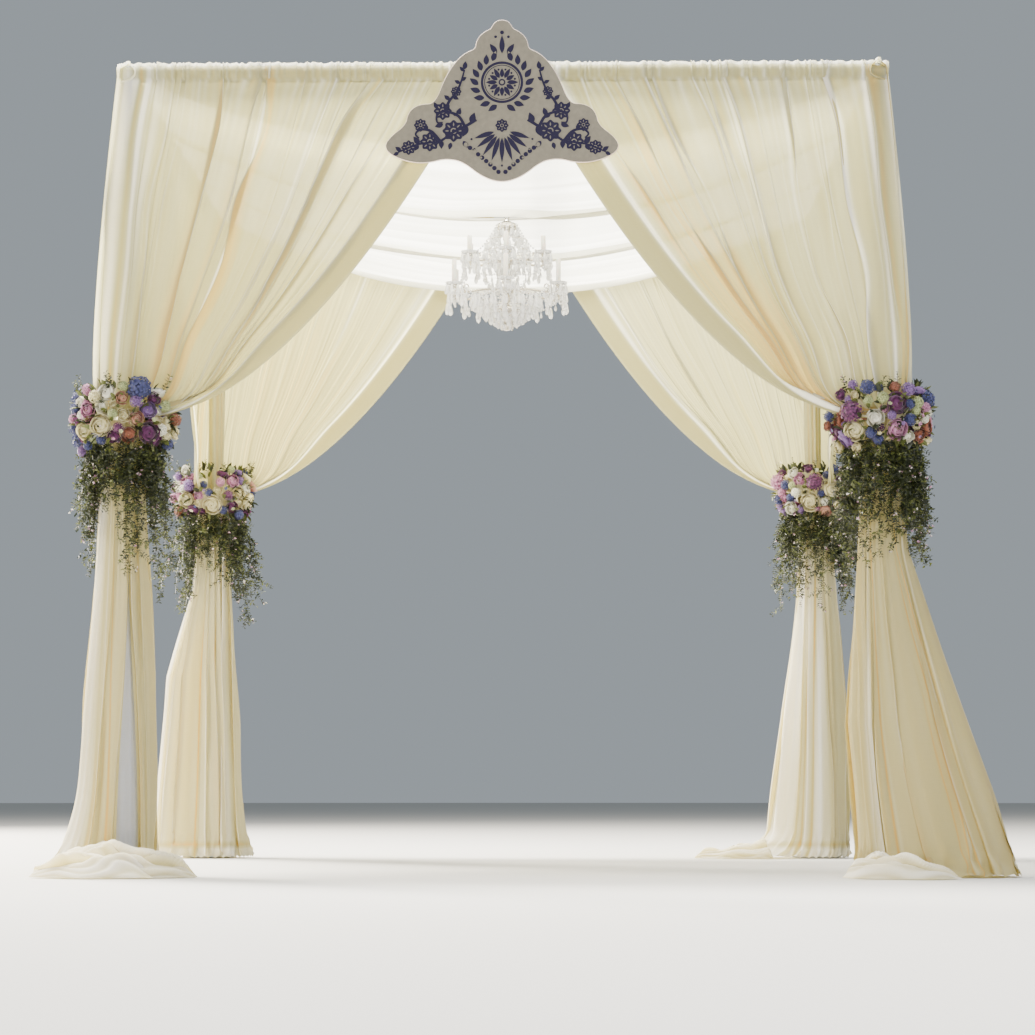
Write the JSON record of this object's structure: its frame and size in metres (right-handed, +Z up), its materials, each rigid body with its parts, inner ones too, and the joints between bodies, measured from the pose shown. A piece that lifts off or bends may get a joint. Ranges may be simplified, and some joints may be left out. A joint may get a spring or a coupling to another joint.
{
  "type": "draped wedding arbor",
  "caption": "Square metal arbor with swagged sheer curtains, sagging cloth ceiling, flower tie-backs, sign board and crystal chandelier.",
  "frame": {"origin": "on the floor, in the middle of the bounding box's footprint", "axes": "+Z up, -Y towards the front with the sign, +X to the right seen from the front"},
  "size_m": [3.9134, 3.8488, 3.455],
  "materials": {
    "dark_steel": "powder-coated satin black",
    "steel_pipe": "galvanised and brushed",
    "sign_board": "painted board, matt taupe with a pale rim",
    "white_voile": "sheer white voile",
    "ivory_voile": "sheer ivory voile",
    "silk_petals": "silk flowers in cream, pink, plum and blue",
    "silk_leaves": "silk leaves, dark green",
    "nickel_plate": "polished nickel plate",
    "crystal": "clear cut glass"
  },
  "bodies": {
    "root": {"base_front_left": "dark_steel", "base_front_right": "dark_steel", "base_back_left": "dark_steel", "base_back_right": "dark_steel", "post_front_left": "steel_pipe", "post_front_right": "steel_pipe", "post_back_left": "steel_pipe", "post_back_right": "steel_pipe", "rail_front": "steel_pipe", "rail_back": "steel_pipe", "rail_left": "steel_pipe", "rail_right": "steel_pipe", "chandelier_rail": "steel_pipe", "sign_panel": "sign_board", "sign_bracket": "dark_steel", "ceiling_front": "white_voile", "ceiling_middle": "white_voile", "ceiling_rear": "white_voile", "curtain_front_left": "ivory_voile", "curtain_front_right": "ivory_voile", "curtain_back_left": "ivory_voile", "curtain_back_right": "ivory_voile", "curtain_left_front": "ivory_voile", "curtain_left_back": "ivory_voile", "curtain_right_front": "ivory_voile", "curtain_right_back": "ivory_voile", "leg_drape_front_left": "ivory_voile", "leg_drape_front_right": "ivory_voile", "leg_drape_back_left": "ivory_voile", "leg_drape_back_right": "ivory_voile", "flower_tieback_front_left": "silk_petals", "flower_tieback_front_right": "silk_petals", "flower_tieback_back_left": "silk_petals", "flower_tieback_back_right": "silk_petals", "foliage_front_left": "silk_leaves", "foliage_front_right": "silk_leaves", "foliage_back_left": "silk_leaves", "foliage_back_right": "silk_leaves", "chandelier_chain": "nickel_plate", "chandelier_column": "nickel_plate", "chandelier_lower_arms": "nickel_plate", "chandelier_upper_arms": "nickel_plate", "chandelier_crystals": "crystal"}
  },
  "joints": []
}
